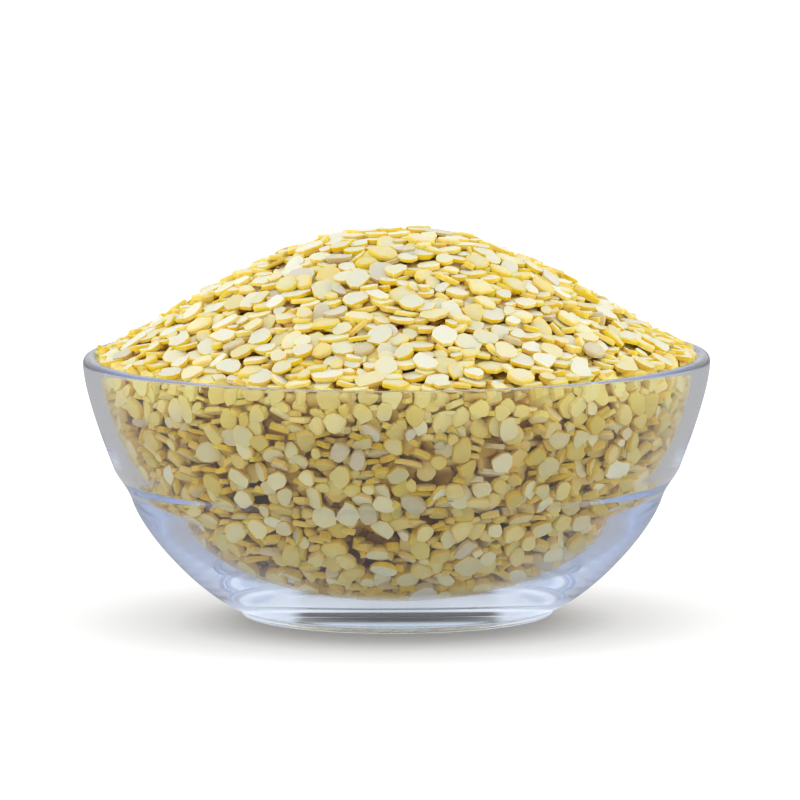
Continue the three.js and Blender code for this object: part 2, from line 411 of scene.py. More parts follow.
def axes_of(normal):
    """Two directions along a surface, and its normal, as columns."""
    side = np.cross((0, 0, 1), normal)
    if np.linalg.norm(side) < TINY:
        side = np.array((1.0, 0, 0))
    side /= np.linalg.norm(side)
    return np.column_stack([side, np.cross(normal, side), normal])


# A grain settles on a curved surface in rounds. The lowest way round wins, give or take this height, and
# one that reaches into the glass by more than the slack is barred.
SETTLING_ROUNDS = 3
UNEVEN_CHOICE = 0.3
GLASS_SLACK = 0.02
BARRED = 100


def height_on_surface(at, radius, site, axes, clearance):
    """How far up the balls of each try have to go to clear the surface."""
    height = (radius - at[:, :, 2]).max(1)
    for _ in range(SETTLING_ROUNDS):
        p = at.copy()
        p[:, :, 2] += height[:, None]
        world = site + (p[:, :, None, :] * axes).sum(3)
        height += (radius - clearance(world)).max(1)
    return height


def height_on_grains(at, radius, others):
    """How far up the balls of each try have to go to clear the balls of other grains."""
    dx = at[:, :, None, 0] - others[:, 0]
    dy = at[:, :, None, 1] - others[:, 1]
    far = radius[:, None] + others[:, 3]
    room = far**2 - dx**2 - dy**2
    touch = others[:, 2] + np.sqrt(np.maximum(room, 0)) - at[:, :, None, 2]
    return np.where(room > 0, touch, -FAR_AWAY).max((1, 2))


def land(others, site, axes, clearance, size, turns, shift, walls=None):
    """Drops a grain onto the surface at site, trying some ways round, and keeps the lowest.

    It gives None where every try would reach into the walls.
    """
    tries = len(turns)
    reach = grain_outline()
    local = grain_balls(size, reach)
    middle = np.array((0, 0, size[2] * PRESSED / 2))
    at = ((local[:, :3] - middle)[None, :, None, :] * turns[:, None, :, :]).sum(3)
    off = rng.normal(0, shift, (tries, 2))
    at[:, :, :2] += off[:, None, :]
    radius = local[:, 3]
    height = height_on_surface(at, radius, site, axes, clearance)
    if len(others):
        height = np.maximum(height, height_on_grains(at, radius, others))
    at[:, :, 2] += height[:, None]
    world = site + (at[:, :, None, :] * axes).sum(3)
    score = height + rng.uniform(0, UNEVEN_CHOICE, tries)
    if walls is not None:
        score = score + np.where((walls(world) - radius).min(1) < -GLASS_SLACK, BARRED, 0)
    best = int(np.argmin(score))
    if score[best] > BARRED / 2:
        return None
    place = site + (axes * np.array((off[best, 0], off[best, 1], height[best]))).sum(1)
    turn = (axes[:, :, None] * turns[best][None, :, :]).sum(1)
    balls = np.column_stack([world[best], radius])
    return Laid(place, turn, size, reach, balls, (at[best, :, 2] - radius).min())


# Balls that lie farther aside than this can't touch a grain on its site.
NEAR_ENOUGH = 4.8


def near_in_axes(pile, site, axes):
    """The balls laid near a site, seen along its axes."""
    near = pile.near(site)
    q = ((near[:, :3] - site)[:, :, None] * axes).sum(1)
    close = (np.abs(q[:, 0]) < NEAR_ENOUGH) & (np.abs(q[:, 1]) < NEAR_ENOUGH)
    return np.column_stack([q[close], near[close, 3]])


def grain_size(whole, scale):
    """Half length, half width and thickness of a whole grain, or of a chip as thick as one."""
    scale = scale * (rng.normal(1, SIZE_SPREAD) if whole else rng.uniform(*CHIP_SCALES))
    spread = np.clip(rng.normal(1, SHAPE_SPREAD), *SHAPE_LIMITS)
    return np.array((GRAIN_LENGTH / 2 * scale, GRAIN_WIDTH / 2 * scale, GRAIN_THICKNESS)) * spread


class Layer:
    """The sites on a surface that grains land on, and how high the grains on each reach."""

    CELL = 4
    START = (-0.5, 0.0)

    def __init__(self, sites, normals):
        self.sites = sites
        self.normals = normals
        self.high = rng.uniform(*self.START, len(sites))
        self.cells = {}
        for k, cell in enumerate(map(tuple, np.floor(sites / self.CELL).astype(int))):
            self.cells.setdefault(cell, []).append(k)

    def near(self, place):
        """The sites that a grain laid here can cover."""
        c = np.floor(place / self.CELL).astype(int)
        found = []
        for x in range(c[0] - 2, c[0] + 3):
            for y in range(c[1] - 2, c[1] + 3):
                for z in range(c[2] - 2, c[2] + 3):
                    found += self.cells.get((x, y, z), ())
        return np.array(found, int)

    def cover(self, laid):
        """Raises the sites under a grain to the grain's top."""
        balls = laid.balls
        found = self.near(laid.place)
        if not len(found):
            return
        v = balls[None, :, :3] - self.sites[found][:, None, :]
        up = (v * self.normals[found][:, None, :]).sum(2)
        aside = np.sqrt(np.maximum((v * v).sum(2) - up * up, 0))
        top = np.where(aside < balls[:, 3] + COVER, up + balls[:, 3], -FAR_AWAY).max(1)
        self.high[found] = np.maximum(self.high[found], top)


# The share of grains that fall as chips, how much lower a chip has to lie to take a whole grain's place,
# and how far a site's height is raised once a grain is laid on it, or once it is passed over.
BROKEN_SHARE = 0.04
CHIP_GAIN = 0.4
LAID_STEP = 0.15
PASSED_STEP = 1.0


def fill(pile, layer, clearance, depth, tries, lean, shift, scale=1, walls=None, keep=None):
    """Lays grains on the lowest sites, until the layer is this deep everywhere."""
    while True:
        k = int(np.argmin(layer.high))
        low = layer.high[k]
        if low > depth or pile.count >= len(pile.place):
            return
        site, axes = layer.sites[k], axes_of(layer.normals[k])
        others = near_in_axes(pile, site, axes)
        if walls is None and low < LOWEST_HEIGHT:
            turns = random_turns(tries, LOWEST_LEAN, LOWEST_CUT_DOWN, axes)
        else:
            turns = random_turns(tries, lean, CUT_DOWN, axes)
        size = grain_size(rng.random() > BROKEN_SHARE, scale)
        laid = land(others, site, axes, clearance, size, turns, shift, walls)
        if laid is None or laid.low - low > HOLLOW:
            size = grain_size(False, scale)
            chip = land(others, site, axes, clearance, size, turns, shift / 2, walls)
            if chip is not None and (laid is None or chip.low < laid.low - CHIP_GAIN):
                laid = chip
        if laid is None or (keep is not None and not keep(laid.balls)):
            layer.high[k] += PASSED_STEP
            continue
        pile.add(laid)
        layer.high[k] += LAID_STEP
        layer.cover(laid)


# How far ahead along the wall its direction is taken.
AHEAD = 0.2


def wall_sites(spacing):
    """Points spread evenly over the inside of the bowl, with the normals into the bowl."""
    wall = inner_wall()
    length = np.r_[0, np.cumsum(np.hypot(*np.diff(wall, axis=0).T))]
    points, normals = [], []
    for s in np.arange(spacing / 2, length[-1], spacing):
        r = np.interp(s, length, wall[:, 0])
        z = np.interp(s, length, wall[:, 1])
        tr = np.interp(s + AHEAD, length, wall[:, 0]) - r
        tz = np.interp(s + AHEAD, length, wall[:, 1]) - z
        norm = math.hypot(tr, tz) or 1
        nr, nz = tz / norm, -tr / norm
        count = max(int(round(TURN * r / spacing)), 1)
        for angle in (np.arange(count) + rng.random()) / count * TURN:
            c, sn = math.cos(angle), math.sin(angle)
            points.append((r * c, r * sn, z))
            normals.append((nr * c, nr * sn, nz))
    return np.array(points), np.array(normals)


def mound_sites(spacing, depth):
    """Points spread evenly under the mound's outline at this depth, with its normals."""
    count = int(math.pi * MOUND_RADIUS**2 / spacing**2)
    k = np.arange(count) + 0.5
    r = MOUND_RADIUS * np.sqrt(k / count)
    angle = k * math.pi * (3 - math.sqrt(5))
    x, y = r * np.cos(angle), r * np.sin(angle)
    step = 0.5
    sx = (mound_height(x + step, y) - mound_height(x - step, y)) / (2 * step)
    sy = (mound_height(x, y + step) - mound_height(x, y - step)) / (2 * step)
    normals = np.column_stack([-sx, -sy, np.ones(count)])
    normals /= np.linalg.norm(normals, axis=1)[:, None]
    points = np.column_stack([x, y, mound_height(x, y)]) - normals * depth
    return points, normals


def over_core(p):
    """How far points are over the mound's core, which lies under its outline by the mound's depth."""
    rise = p[..., 2] - mound_height(p[..., 0], p[..., 1])
    return rise * ACROSS_SLOPE + MOUND_DEPTH


def under_outline(balls):
    """Whether a grain lies wholly under the heap's outline."""
    over = balls[:, 2] + balls[:, 3] - mound_height(balls[:, 0], balls[:, 1])
    return over.max() < 0.0


def pack():
    """The grains inside the glass, and then those on the mound."""
    walls = WallField()
    pile = Pile(MOST_GRAINS)
    layer = Layer(*wall_sites(WALL_SPACING))
    fill(pile, layer, walls, WALL_DEPTH, WALL_TRIES, WALL_LEAN, WALL_SHIFT)
    pile.wall_count = pile.count
    layer = Layer(*mound_sites(MOUND_SPACING, MOUND_DEPTH))
    how = (MOUND_TRIES, MOUND_LEAN, MOUND_SHIFT, MOUND_GRAIN_SCALE)
    fill(pile, layer, over_core, MOUND_FILL, *how, walls, under_outline)
    return pile


# ---- grain meshes ----


def grain_corners(pile):
    """The corners of every grain in its own frame, as an array of grain, corner and x, y, z."""
    n = pile.count
    reach = pile.reach[:n]
    c, s = np.cos(SIDE_ANGLES), np.sin(SIDE_ANGLES)
    middle = np.zeros((n, 1, 3))
    middle[:, 0, 0] = (reach * c).mean(1)
    middle[:, 0, 1] = (reach * s).mean(1)
    rows = [middle]
    for part, height in GRAIN_RINGS:
        ring = np.zeros((n, GRAIN_SIDES, 3))
        ring[:, :, 0] = middle[:, :, 0] + (reach * c - middle[:, :, 0]) * part
        ring[:, :, 1] = middle[:, :, 1] + (reach * s - middle[:, :, 1]) * part
        ring[:, :, 2] = height
        if height > 0:
            ring[:, :, 2] += rng.normal(0, BACK_UNEVEN, (n, GRAIN_SIDES)) * (part < 1)
        rows.append(ring)
    top = middle.copy()
    top[:, :, 2] = 1.0
    rows.append(top)
    local = np.concatenate(rows, axis=1)
    local *= pile.size[:n, None, :]
    local[:, :, 2] -= pile.size[:n, None, 2] / 2
    return local


def grain_faces():
    """Triangles of a grain, the cut face's first, with a middle point before and after the rings."""
    faces = []
    sides = GRAIN_SIDES
    rings = len(GRAIN_RINGS)
    for k in range(sides):
        faces.append((0, 1 + (k + 1) % sides, 1 + k))
    for ring in range(rings - 1):
        low, high = 1 + ring * sides, 1 + (ring + 1) * sides
        for k in range(sides):
            n = (k + 1) % sides
            faces.append((low + k, low + n, high + n))
            faces.append((low + k, high + n, high + k))
    last, top = 1 + (rings - 1) * sides, 1 + rings * sides
    for k in range(sides):
        faces.append((last + k, last + (k + 1) % sides, top))
    return np.array(faces)


# The least gap to the glass, and the step over which the way out of it is found.
GLASS_GAP = 0.03
SLOPE_STEP = 0.2


def off_the_glass(walls, world):
    """Moves each grain that reaches into the glass back out of it."""
    for _ in range(SETTLING_ROUNDS):
        gap = walls(world)
        deepest = gap.argmin(1)
        n = np.arange(len(world))
        short = np.maximum(GLASS_GAP - gap[n, deepest], 0)
        p = world[n, deepest]
        slope = []
        for axis in range(3):
            shift = np.zeros(3)
            shift[axis] = SLOPE_STEP
            slope.append(walls(p + shift) - walls(p - shift))
        slope = np.stack(slope, 1)
        slope /= np.maximum(np.linalg.norm(slope, axis=1), TINY)[:, None]
        world = world + (slope * short[:, None])[:, None, :]
    return world


# Depths under the heap's surface, in millimetres, between which the grains turn to their painted shade
# colour.
# On the mound they count across its slope, and behind the glass from a little in front of it.
SHADED_FROM, SHADED_TO = 1.4, 4.3
SHADE_ACROSS_SLOPE = 0.88
SHADE_FROM_GLASS = 0.2


def how_deep(walls, world):
    """From 0 at the heap's surface, or at the glass, to 1 in the gaps between the outer grains: how much
    painted shade a point gets.
    """
    x, y, z = world[..., 0], world[..., 1], world[..., 2]
    under_mound = (mound_height(x, y) - z) * SHADE_ACROSS_SLOPE
    depth = np.minimum(under_mound, walls(world) + SHADE_FROM_GLASS)
    return np.clip((depth - SHADED_FROM) / (SHADED_TO - SHADED_FROM), 0, 1)


def draw_kinds(pile, kinds):
    """The number of the kind that each grain is, drawn by the shares of the place where it lies."""
    n = pile.count
    draw = rng.random(n)
    kind_of = np.zeros(n, int)
    on_mound = np.arange(n) >= pile.wall_count
    for part, mine in enumerate((on_mound, ~on_mound)):
        chance = np.cumsum([k["shares"][part] for k in kinds])
        kind_of[mine] = np.searchsorted(chance / chance[-1], draw[mine])
    return kind_of


def face_marks(faces):
    """For the corners of a grain's faces: one on its cut face, and how golden it is, the painted glow on
    its sides.
    """
    cut = np.zeros(faces.shape)
    cut[:GRAIN_SIDES] = 1
    side = np.concatenate([[0], np.repeat(GOLDEN_AT_RINGS, GRAIN_SIDES), [0]])[faces]
    side[:GRAIN_SIDES] *= GOLDEN_CUT_EDGE
    return {"cut": cut, "side": side}


def joined_grains(name, world, deep, faces, marks):
    """One mesh of these grains, with the tone of each, its marks and its depth as attributes."""
    count, corners = world.shape[:2]
    verts = world.reshape(-1, 3) * MM
    all_faces = (faces[None] + (np.arange(count) * corners)[:, None, None]).reshape(-1, 3)
    mesh = bpy.data.meshes.new(name)
    mesh.vertices.add(len(verts))
    mesh.vertices.foreach_set("co", verts.ravel())
    mesh.loops.add(all_faces.size)
    mesh.loops.foreach_set("vertex_index", all_faces.ravel())
    mesh.polygons.add(len(all_faces))
    mesh.polygons.foreach_set("loop_start", np.arange(0, all_faces.size, 3))
    smooth = np.ones(len(faces), bool)
    smooth[:GRAIN_SIDES] = False
    mesh.polygons.foreach_set("use_smooth", np.tile(smooth, count))
    mesh.update(calc_edges=True)
    tone = np.repeat(rng.random(count), corners)
    mesh.attributes.new("tone", "FLOAT", "POINT").data.foreach_set("value", tone)
    for mark, values in marks.items():
        spread = np.tile(values.ravel(), count)
        mesh.attributes.new(mark, "FLOAT", "CORNER").data.foreach_set("value", spread)
    mesh.attributes.new("deep", "FLOAT", "POINT").data.foreach_set("value", deep.ravel())
    mesh.set_sharp_from_angle(angle=SHARP_EDGE)
    piece = bpy.data.objects.new(name, mesh)
    bpy.context.collection.objects.link(piece)
    return piece


def grain_pieces(pile, kinds):
    """One piece for each kind of grain."""
    n = pile.count
    walls = WallField()
    local = grain_corners(pile)
    world = pile.place[:n, None, :] + (local[:, :, None, :] * pile.turn[:n, None, :, :]).sum(3)
    world = off_the_glass(walls, world)
    deep = how_deep(walls, world)
    faces = grain_faces()
    marks = face_marks(faces)
    kind_of = draw_kinds(pile, kinds)
    made = []
    for index, kind in enumerate(kinds):
        mine = np.flatnonzero(kind_of == index)
        made.append(joined_grains(kind["name"], world[mine], deep[mine], faces, marks))
    return made


# The core, in millimetres: how far it lies under the mound and inside the wall. The wall's first points
# are left out, where it meets the mound.
CORE_UNDER_MOUND = 4.6
CORE_INSIDE_WALL = 3.6
CORE_RADIUS = 54
CORE_POINTS = 28
CORE_WALL_FIRST = 3
CORE_SIDES = 96


def core_piece():
    """The inside of the heap, painted dark for the shade between the grains, and seen only there."""
    mound = []
    for r in np.linspace(0, CORE_RADIUS, CORE_POINTS):
        mound.append((r, mound_height(0.0, r) - CORE_UNDER_MOUND))
    wall = []
    for r, z in inner_wall()[CORE_WALL_FIRST:]:
        wall.append((max(r - CORE_INSIDE_WALL, 0), z + CORE_INSIDE_WALL))
    section = np.array(mound + wall)
    return revolve("lentil_core", section[::-1], CORE_SIDES)


# ---- materials ----


def material(name):
    """A new empty material, with its nodes and links."""
    made = bpy.data.materials.new(name)
    made.use_nodes = True
    nodes = made.node_tree.nodes
    nodes.clear()
    return made, nodes, made.node_tree.links


def either(nodes, links, choice, first, second):
    """The second shader where the choice is one, and else the first."""
    mix = nodes.new("ShaderNodeMixShader")
    links.new(choice, mix.inputs["Fac"])
    links.new(first, mix.inputs[1])
    links.new(second, mix.inputs[2])
    return mix.outputs[0]


# What the glass lets through to the floor as shade, and the tint that grows with its thickness.
GLASS_IOR = 1.5
GLASS_SHADOW = (0.86, 0.88, 0.9, 1)
GLASS_TINT = (0.55, 0.67, 0.9, 1)
GLASS_TINT_DENSITY = 11


def glass_material():
    """Clear glass with a faint blue tint, which lets lamps through."""
    made, nodes, links = material("clear_blue_glass")
    out = nodes.new("ShaderNodeOutputMaterial")
    glass = nodes.new("ShaderNodeBsdfGlass")
    glass.inputs["Color"].default_value = (1, 1, 1, 1)
    glass.inputs["Roughness"].default_value = 0.0
    glass.inputs["IOR"].default_value = GLASS_IOR
    clear = nodes.new("ShaderNodeBsdfTransparent")
    clear.inputs["Color"].default_value = GLASS_SHADOW
    path = nodes.new("ShaderNodeLightPath")
    mix = either(nodes, links, path.outputs["Is Shadow Ray"], glass.outputs[0], clear.outputs[0])
    links.new(mix, out.inputs["Surface"])
    tint = nodes.new("ShaderNodeVolumeAbsorption")
    tint.inputs["Color"].default_value = GLASS_TINT
    tint.inputs["Density"].default_value = GLASS_TINT_DENSITY
    links.new(tint.outputs[0], out.inputs["Volume"])
    return made


def noise(nodes, links, where, scale, detail):
    """Noise of this scale per metre."""
    made = nodes.new("ShaderNodeTexNoise")
    made.inputs["Scale"].default_value = scale
    made.inputs["Detail"].default_value = detail
    links.new(where, made.inputs["Vector"])
    return made.outputs["Fac"]


def blended(nodes, links, factor, first, second):
    """A colour between two, each a fixed colour or another node's."""
    blend = nodes.new("ShaderNodeMix")
    blend.data_type = "RGBA"
    links.new(factor, blend.inputs["Factor"])
    for socket, colour in (("A", first), ("B", second)):
        if isinstance(colour, tuple):
            blend.inputs[socket].default_value = (*colour, 1)
        else:
            links.new(colour, blend.inputs[socket])
    return blend.outputs["Result"]


def ranged(nodes, links, value, low, high, start=0.0, end=1.0):
    """A value taken from start to end over to low to high."""
    spread = nodes.new("ShaderNodeMapRange")
    spread.inputs["From Min"].default_value = start
    spread.inputs["From Max"].default_value = end
    spread.inputs["To Min"].default_value = low
    spread.inputs["To Max"].default_value = high
    links.new(value, spread.inputs["Value"])
    return spread.outputs["Result"]


def ramp(nodes, links, value, stops):
    """A colour that runs through these places and colours."""
    made = nodes.new("ShaderNodeValToRGB")
    elements = made.color_ramp.elements
    while len(elements) < len(stops):
        elements.new(1.0)
    for element, (place, colour) in zip(elements, stops):
        element.position = place
        element.color = (*colour, 1)
    links.new(value, made.inputs["Fac"])
    return made.outputs["Color"]


def attribute(nodes, name):
    """The value of a mesh attribute."""
    made = nodes.new("ShaderNodeAttribute")
    made.attribute_name = name
    return made.outputs["Fac"]


# Colours of the grains.
CREAM = (0.78, 0.785, 0.66)
PALE = (0.78, 0.765, 0.57)
STRAW = (0.79, 0.735, 0.44)
YELLOW = (0.78, 0.67, 0.25)
DEEP_YELLOW = (0.72, 0.6, 0.2)
MUTED = (0.72, 0.66, 0.38)
GOLDEN = (0.9, 0.65, 0.055)
AMBER = (0.78, 0.55, 0.09)
DULL = (0.68, 0.62, 0.44)
DULL_FACE = (0.7, 0.67, 0.56)
DULL_SIDE = (0.66, 0.54, 0.28)
# The core's colour is painted shade, darker than the grains.
DEPTH = (0.6, 0.34, 0.05)
# Kinds of grain: the share of each on the mound and behind the glass, and the colours of its back, its
# cut face and its sides. The shares paint light and shade: the palest kinds lie only on the lit mound,
# and deeper, more muted ones only behind the glass, for the shade there.
KINDS = (
    {"name": "lentils_cream", "shares": (0.3, 0.0), "colours": (PALE, CREAM, GOLDEN)},
    {"name": "lentils_pale", "shares": (0.28, 0.0), "colours": (PALE, CREAM, GOLDEN)},
    {"name": "lentils_straw", "shares": (0.24, 0.07), "colours": (STRAW, PALE, GOLDEN)},
    {"name": "lentils_golden", "shares": (0.14, 0.27), "colours": (YELLOW, STRAW, AMBER)},
    {"name": "lentils_deep", "shares": (0.0, 0.3), "colours": (DEEP_YELLOW, YELLOW, AMBER)},
    {"name": "lentils_muted", "shares": (0.0, 0.3), "colours": (DEEP_YELLOW, MUTED, AMBER)},
    {"name": "lentils_dull", "shares": (0.04, 0.06), "colours": (DULL, DULL_FACE, DULL_SIDE)},
)
# Painted shade in the gaps between the grains: warm colours that stand for the dim light that has come
# through other grains.
SHADED = (0.85, 0.62, 0.16)
DARKEST_SHADE = (0.58, 0.34, 0.09)
# Painted light: the grains just under the rim are painted a bright yellow, for the light that falls on
# them from above through the glass, between these heights, in metres, in these shares on the way up.
PAINTED_RIM_LIGHT = (1.0, 0.83, 0.28)
RIM_LIGHT_FROM, RIM_LIGHT_TO = 0.041, 0.0505
RIM_LIGHT_SHARES = (
    (0.0, (0.0, 0.0, 0.0)),
    (0.6, (0.8, 0.8, 0.8)),
    (0.92, (0.9, 0.9, 0.9)),
    (1.0, (0.0, 0.0, 0.0)),
)
# Light that soaks into the grains: its share, and how far each colour goes, in metres.
SOAKED = 0.5
SOAKED_RADIUS = (1.0, 0.55, 0.15)
SOAKED_SCALE = 0.0012
SPECULAR = 0.3
# Noise on the grains: patches where the skin is worn, and fine powder that makes bumps, in metres.
PATCH_SCALE, PATCH_DETAIL = 700, 3
POWDER_SCALE, POWDER_DETAIL = 2600, 2
BUMP_STRENGTH = 0.35
BUMP_HEIGHT = 0.00015
# What the noise, the depth and a grain's tone give: the least and most, and between which values.
WORN_SHARE = (0.0, 0.5, 0.5, 0.7)
SIDE_SHARE = (0.85, 1.0, 0.35, 0.6)
SHADED_SHARE = (0.0, 1.0, 0.0, 0.5)
DARKEST_SHARE = (0.0, 1.0, 0.5, 1.0)
ROUGHNESS = (0.5, 0.75, 0.3, 0.7)
TONE_VALUE = (0.92, 1.06)
TONE_SATURATION = (1.12, 0.88)


def product(nodes, links, first, second):
    """One value times another."""
    made = nodes.new("ShaderNodeMath")
    made.operation = "MULTIPLY"
    links.new(first, made.inputs[0])
    links.new(second, made.inputs[1])
    return made.outputs[0]


def skin_colour(nodes, links, patches, back, face, side):
    """The colour over a grain: its back, its paler cut face, and its sides golden with a painted glow.
    """
    colour = blended(nodes, links, attribute(nodes, "cut"), back, face)
    worn = ranged(nodes, links, patches, *WORN_SHARE)
    colour = blended(nodes, links, worn, colour, face)
    golden = ranged(nodes, links, patches, *SIDE_SHARE)
    golden = product(nodes, links, attribute(nodes, "side"), golden)
    return blended(nodes, links, golden, colour, side)


def lit_colour(nodes, links, where, colour):
    """The colour with painted warm shade between the grains and painted light under the rim."""
    # Painted shade: warmer, then darker, the deeper a point lies in the gaps.
    deep = attribute(nodes, "deep")
    colour = blended(nodes, links, ranged(nodes, links, deep, *SHADED_SHARE), colour, SHADED)
    colour = blended(nodes, links, ranged(nodes, links, deep, *DARKEST_SHARE), colour, DARKEST_SHADE)
    # Painted light: a bright yellow by height, just under the rim.
    split = nodes.new("ShaderNodeSeparateXYZ")
    links.new(where, split.inputs[0])
    height = ranged(nodes, links, split.outputs["Z"], 0.0, 1.0, RIM_LIGHT_FROM, RIM_LIGHT_TO)
    near_rim = ramp(nodes, links, height, RIM_LIGHT_SHARES)
    return blended(nodes, links, near_rim, colour, PAINTED_RIM_LIGHT)


def lentil_material(name, back, face, side):
    """Dry pulse: a domed back, a paler cut face and golden sides, each grain with its own tone."""
    made, nodes, links = material(name)
    out = nodes.new("ShaderNodeOutputMaterial")
    shader = nodes.new("ShaderNodeBsdfPrincipled")
    shader.inputs["Specular IOR Level"].default_value = SPECULAR
    shader.inputs["Subsurface Weight"].default_value = SOAKED
    shader.inputs["Subsurface Radius"].default_value = SOAKED_RADIUS
    shader.inputs["Subsurface Scale"].default_value = SOAKED_SCALE
    links.new(shader.outputs[0], out.inputs["Surface"])
    where = nodes.new("ShaderNodeTexCoord").outputs["Object"]
    patches = noise(nodes, links, where, PATCH_SCALE, PATCH_DETAIL)
    powder = noise(nodes, links, where, POWDER_SCALE, POWDER_DETAIL)
    colour = skin_colour(nodes, links, patches, back, face, side)
    colour = lit_colour(nodes, links, where, colour)
    tone = attribute(nodes, "tone")
    shade = nodes.new("ShaderNodeHueSaturation")
    links.new(colour, shade.inputs["Color"])
    links.new(ranged(nodes, links, tone, *TONE_VALUE), shade.inputs["Value"])
    links.new(ranged(nodes, links, tone, *TONE_SATURATION), shade.inputs["Saturation"])
    links.new(shade.outputs["Color"], shader.inputs["Base Color"])
    links.new(ranged(nodes, links, powder, *ROUGHNESS), shader.inputs["Roughness"])
    bump = nodes.new("ShaderNodeBump")
    bump.inputs["Strength"].default_value = BUMP_STRENGTH
    bump.inputs["Distance"].default_value = BUMP_HEIGHT
    links.new(powder, bump.inputs["Height"])
    links.new(bump.outputs["Normal"], shader.inputs["Normal"])
    return made


def set_material(piece, made):
    piece.data.materials.clear()
    piece.data.materials.append(made)


# ---- stage, light and camera ----

# The floor as the camera sees it: a dull grey with a glow, and the dish's soft shadow painted into the
# glow round a point a little in front of the foot.
SHOWN_GREY = 0.3
SHADOW_MIDDLE = (0, 0.012, 0)
SHADOW_REACH = 0.1
SHADOW = (
    (0.22, (0.18, 0.18, 0.18)),
    (0.28, (0.23, 0.23, 0.23)),
    (0.43, (0.55, 0.55, 0.55)),
    (0.6, (0.72, 0.72, 0.72)),
    (0.95, (0.95, 0.95, 0.95)),
)
# The floor as the glass shows it: painted rings of light, for the light that the bowl gathers, and
# painted shade in dark rings under its foot ring and beyond the brightest ring, which turn paler towards
# the bowl's sides.
SEEN_GREY = 0.2
SEEN_REACH = 0.07
UNDER_FOOT = {"front": (0.02, 0.02, 0.03), "side": (0.6, 0.68, 0.82)}
BEYOND_RING = {"front": (0.2, 0.2, 0.19), "side": (0.52, 0.58, 0.7)}
SIDE_FROM, SIDE_TO = 0.018, 0.0208


def gathered(where):
    """The painted rings of light and shade, from the middle of the floor outwards, at its front or side.
    """
    return (
        (0.305, (0.7, 0.84, 1.0)),
        (0.335, UNDER_FOOT[where]),
        (0.403, UNDER_FOOT[where]),
        (0.411, (0.82, 0.9, 1.0)),
        (0.455, (0.82, 0.9, 1.0)),
        (0.468, BEYOND_RING[where]),
        (0.492, BEYOND_RING[where]),
        (0.52, (0.17, 0.18, 0.21)),
        (0.6, (0.26, 0.3, 0.41)),
        (0.67, (0.26, 0.3, 0.41)),
        (0.78, (0.26, 0.26, 0.27)),
    )


# These rings are a little narrower from side to side, and brighter there than in front.
GATHERED_SCALE = (1.025, 1, 1)
GATHERED_FRONT, GATHERED_SIDE = 0.7, 0.92
GAIN_FROM, GAIN_TO = 0.005, 0.018
# The floor as it lights the lentils.
LIT_GREY = 0.6
LIT_GLOW = 0.35


def past_diffuse(nodes, links):
    """One for a ray that comes from a dull surface, also where glass lies in between."""
    depth = nodes.new("ShaderNodeLightPath").outputs["Diffuse Depth"]
    more = nodes.new("ShaderNodeMath")
    more.operation = "GREATER_THAN"
    more.inputs[1].default_value = 0.5
    links.new(depth, more.inputs[0])
    return more.outputs[0]


def lit_surface(nodes, links, grey):
    """A dull grey surface with a glow added, and the glow's node."""
    surface = nodes.new("ShaderNodeBsdfDiffuse")
    surface.inputs["Color"].default_value = (grey, grey, grey, 1)
    glow = nodes.new("ShaderNodeEmission")
    glow.inputs["Strength"].default_value = 1.0
    both = nodes.new("ShaderNodeAddShader")
    links.new(surface.outputs[0], both.inputs[0])
    links.new(glow.outputs[0], both.inputs[1])
    return both.outputs[0], glow


def how_far(nodes, links, reach, scale=(1, 1, 1), shift=(0, 0, 0)):
    """The distance from a point on the floor, as a share of a reach."""
    where = nodes.new("ShaderNodeTexCoord")
    moved = nodes.new("ShaderNodeVectorMath")
    moved.operation = "MULTIPLY_ADD"
    moved.inputs[1].default_value = scale
    moved.inputs[2].default_value = shift
    links.new(where.outputs["Object"], moved.inputs[0])
    length = nodes.new("ShaderNodeVectorMath")
    length.operation = "LENGTH"
    links.new(moved.outputs["Vector"], length.inputs[0])
    return ranged(nodes, links, length.outputs["Value"], 0.0, 1.0, 0.0, reach)


def shown_floor(nodes, links):
    """The floor for the camera: dull grey with a glow, and the dish's soft shadow painted into the glow.
    """
    shown, glow = lit_surface(nodes, links, SHOWN_GREY)
    far = how_far(nodes, links, SHADOW_REACH, shift=SHADOW_MIDDLE)
    links.new(ramp(nodes, links, far, SHADOW), glow.inputs["Color"])
    return shown


def seen_floor(nodes, links):
    """The floor for the glass, with its painted rings of light and shade."""
    seen, glow = lit_surface(nodes, links, SEEN_GREY)
    far = how_far(nodes, links, SEEN_REACH, GATHERED_SCALE)
    aside = how_far(nodes, links, 1.0, (1, 0, 0))
    front, side = (ramp(nodes, links, far, gathered(where)) for where in ("front", "side"))
    at_side = ranged(nodes, links, aside, 0.0, 1.0, SIDE_FROM, SIDE_TO)
    links.new(blended(nodes, links, at_side, front, side), glow.inputs["Color"])
    gain = ranged(nodes, links, aside, GATHERED_FRONT, GATHERED_SIDE, GAIN_FROM, GAIN_TO)
    links.new(gain, glow.inputs["Strength"])
    return seen


def floor_material():
    """One floor for the camera, one for the glass and one that lights dull surfaces evenly."""
    made, nodes, links = material("pale_floor")
    out = nodes.new("ShaderNodeOutputMaterial")
    path = nodes.new("ShaderNodeLightPath")
    shown, seen = shown_floor(nodes, links), seen_floor(nodes, links)
    lighting, glow = lit_surface(nodes, links, LIT_GREY)
    glow.inputs["Strength"].default_value = LIT_GLOW
    mix = either(nodes, links, path.outputs["Is Camera Ray"], seen, shown)
    mix = either(nodes, links, past_diffuse(nodes, links), mix, lighting)
    links.new(mix, out.inputs["Surface"])
    return made


FLOOR_HALF = 6.0


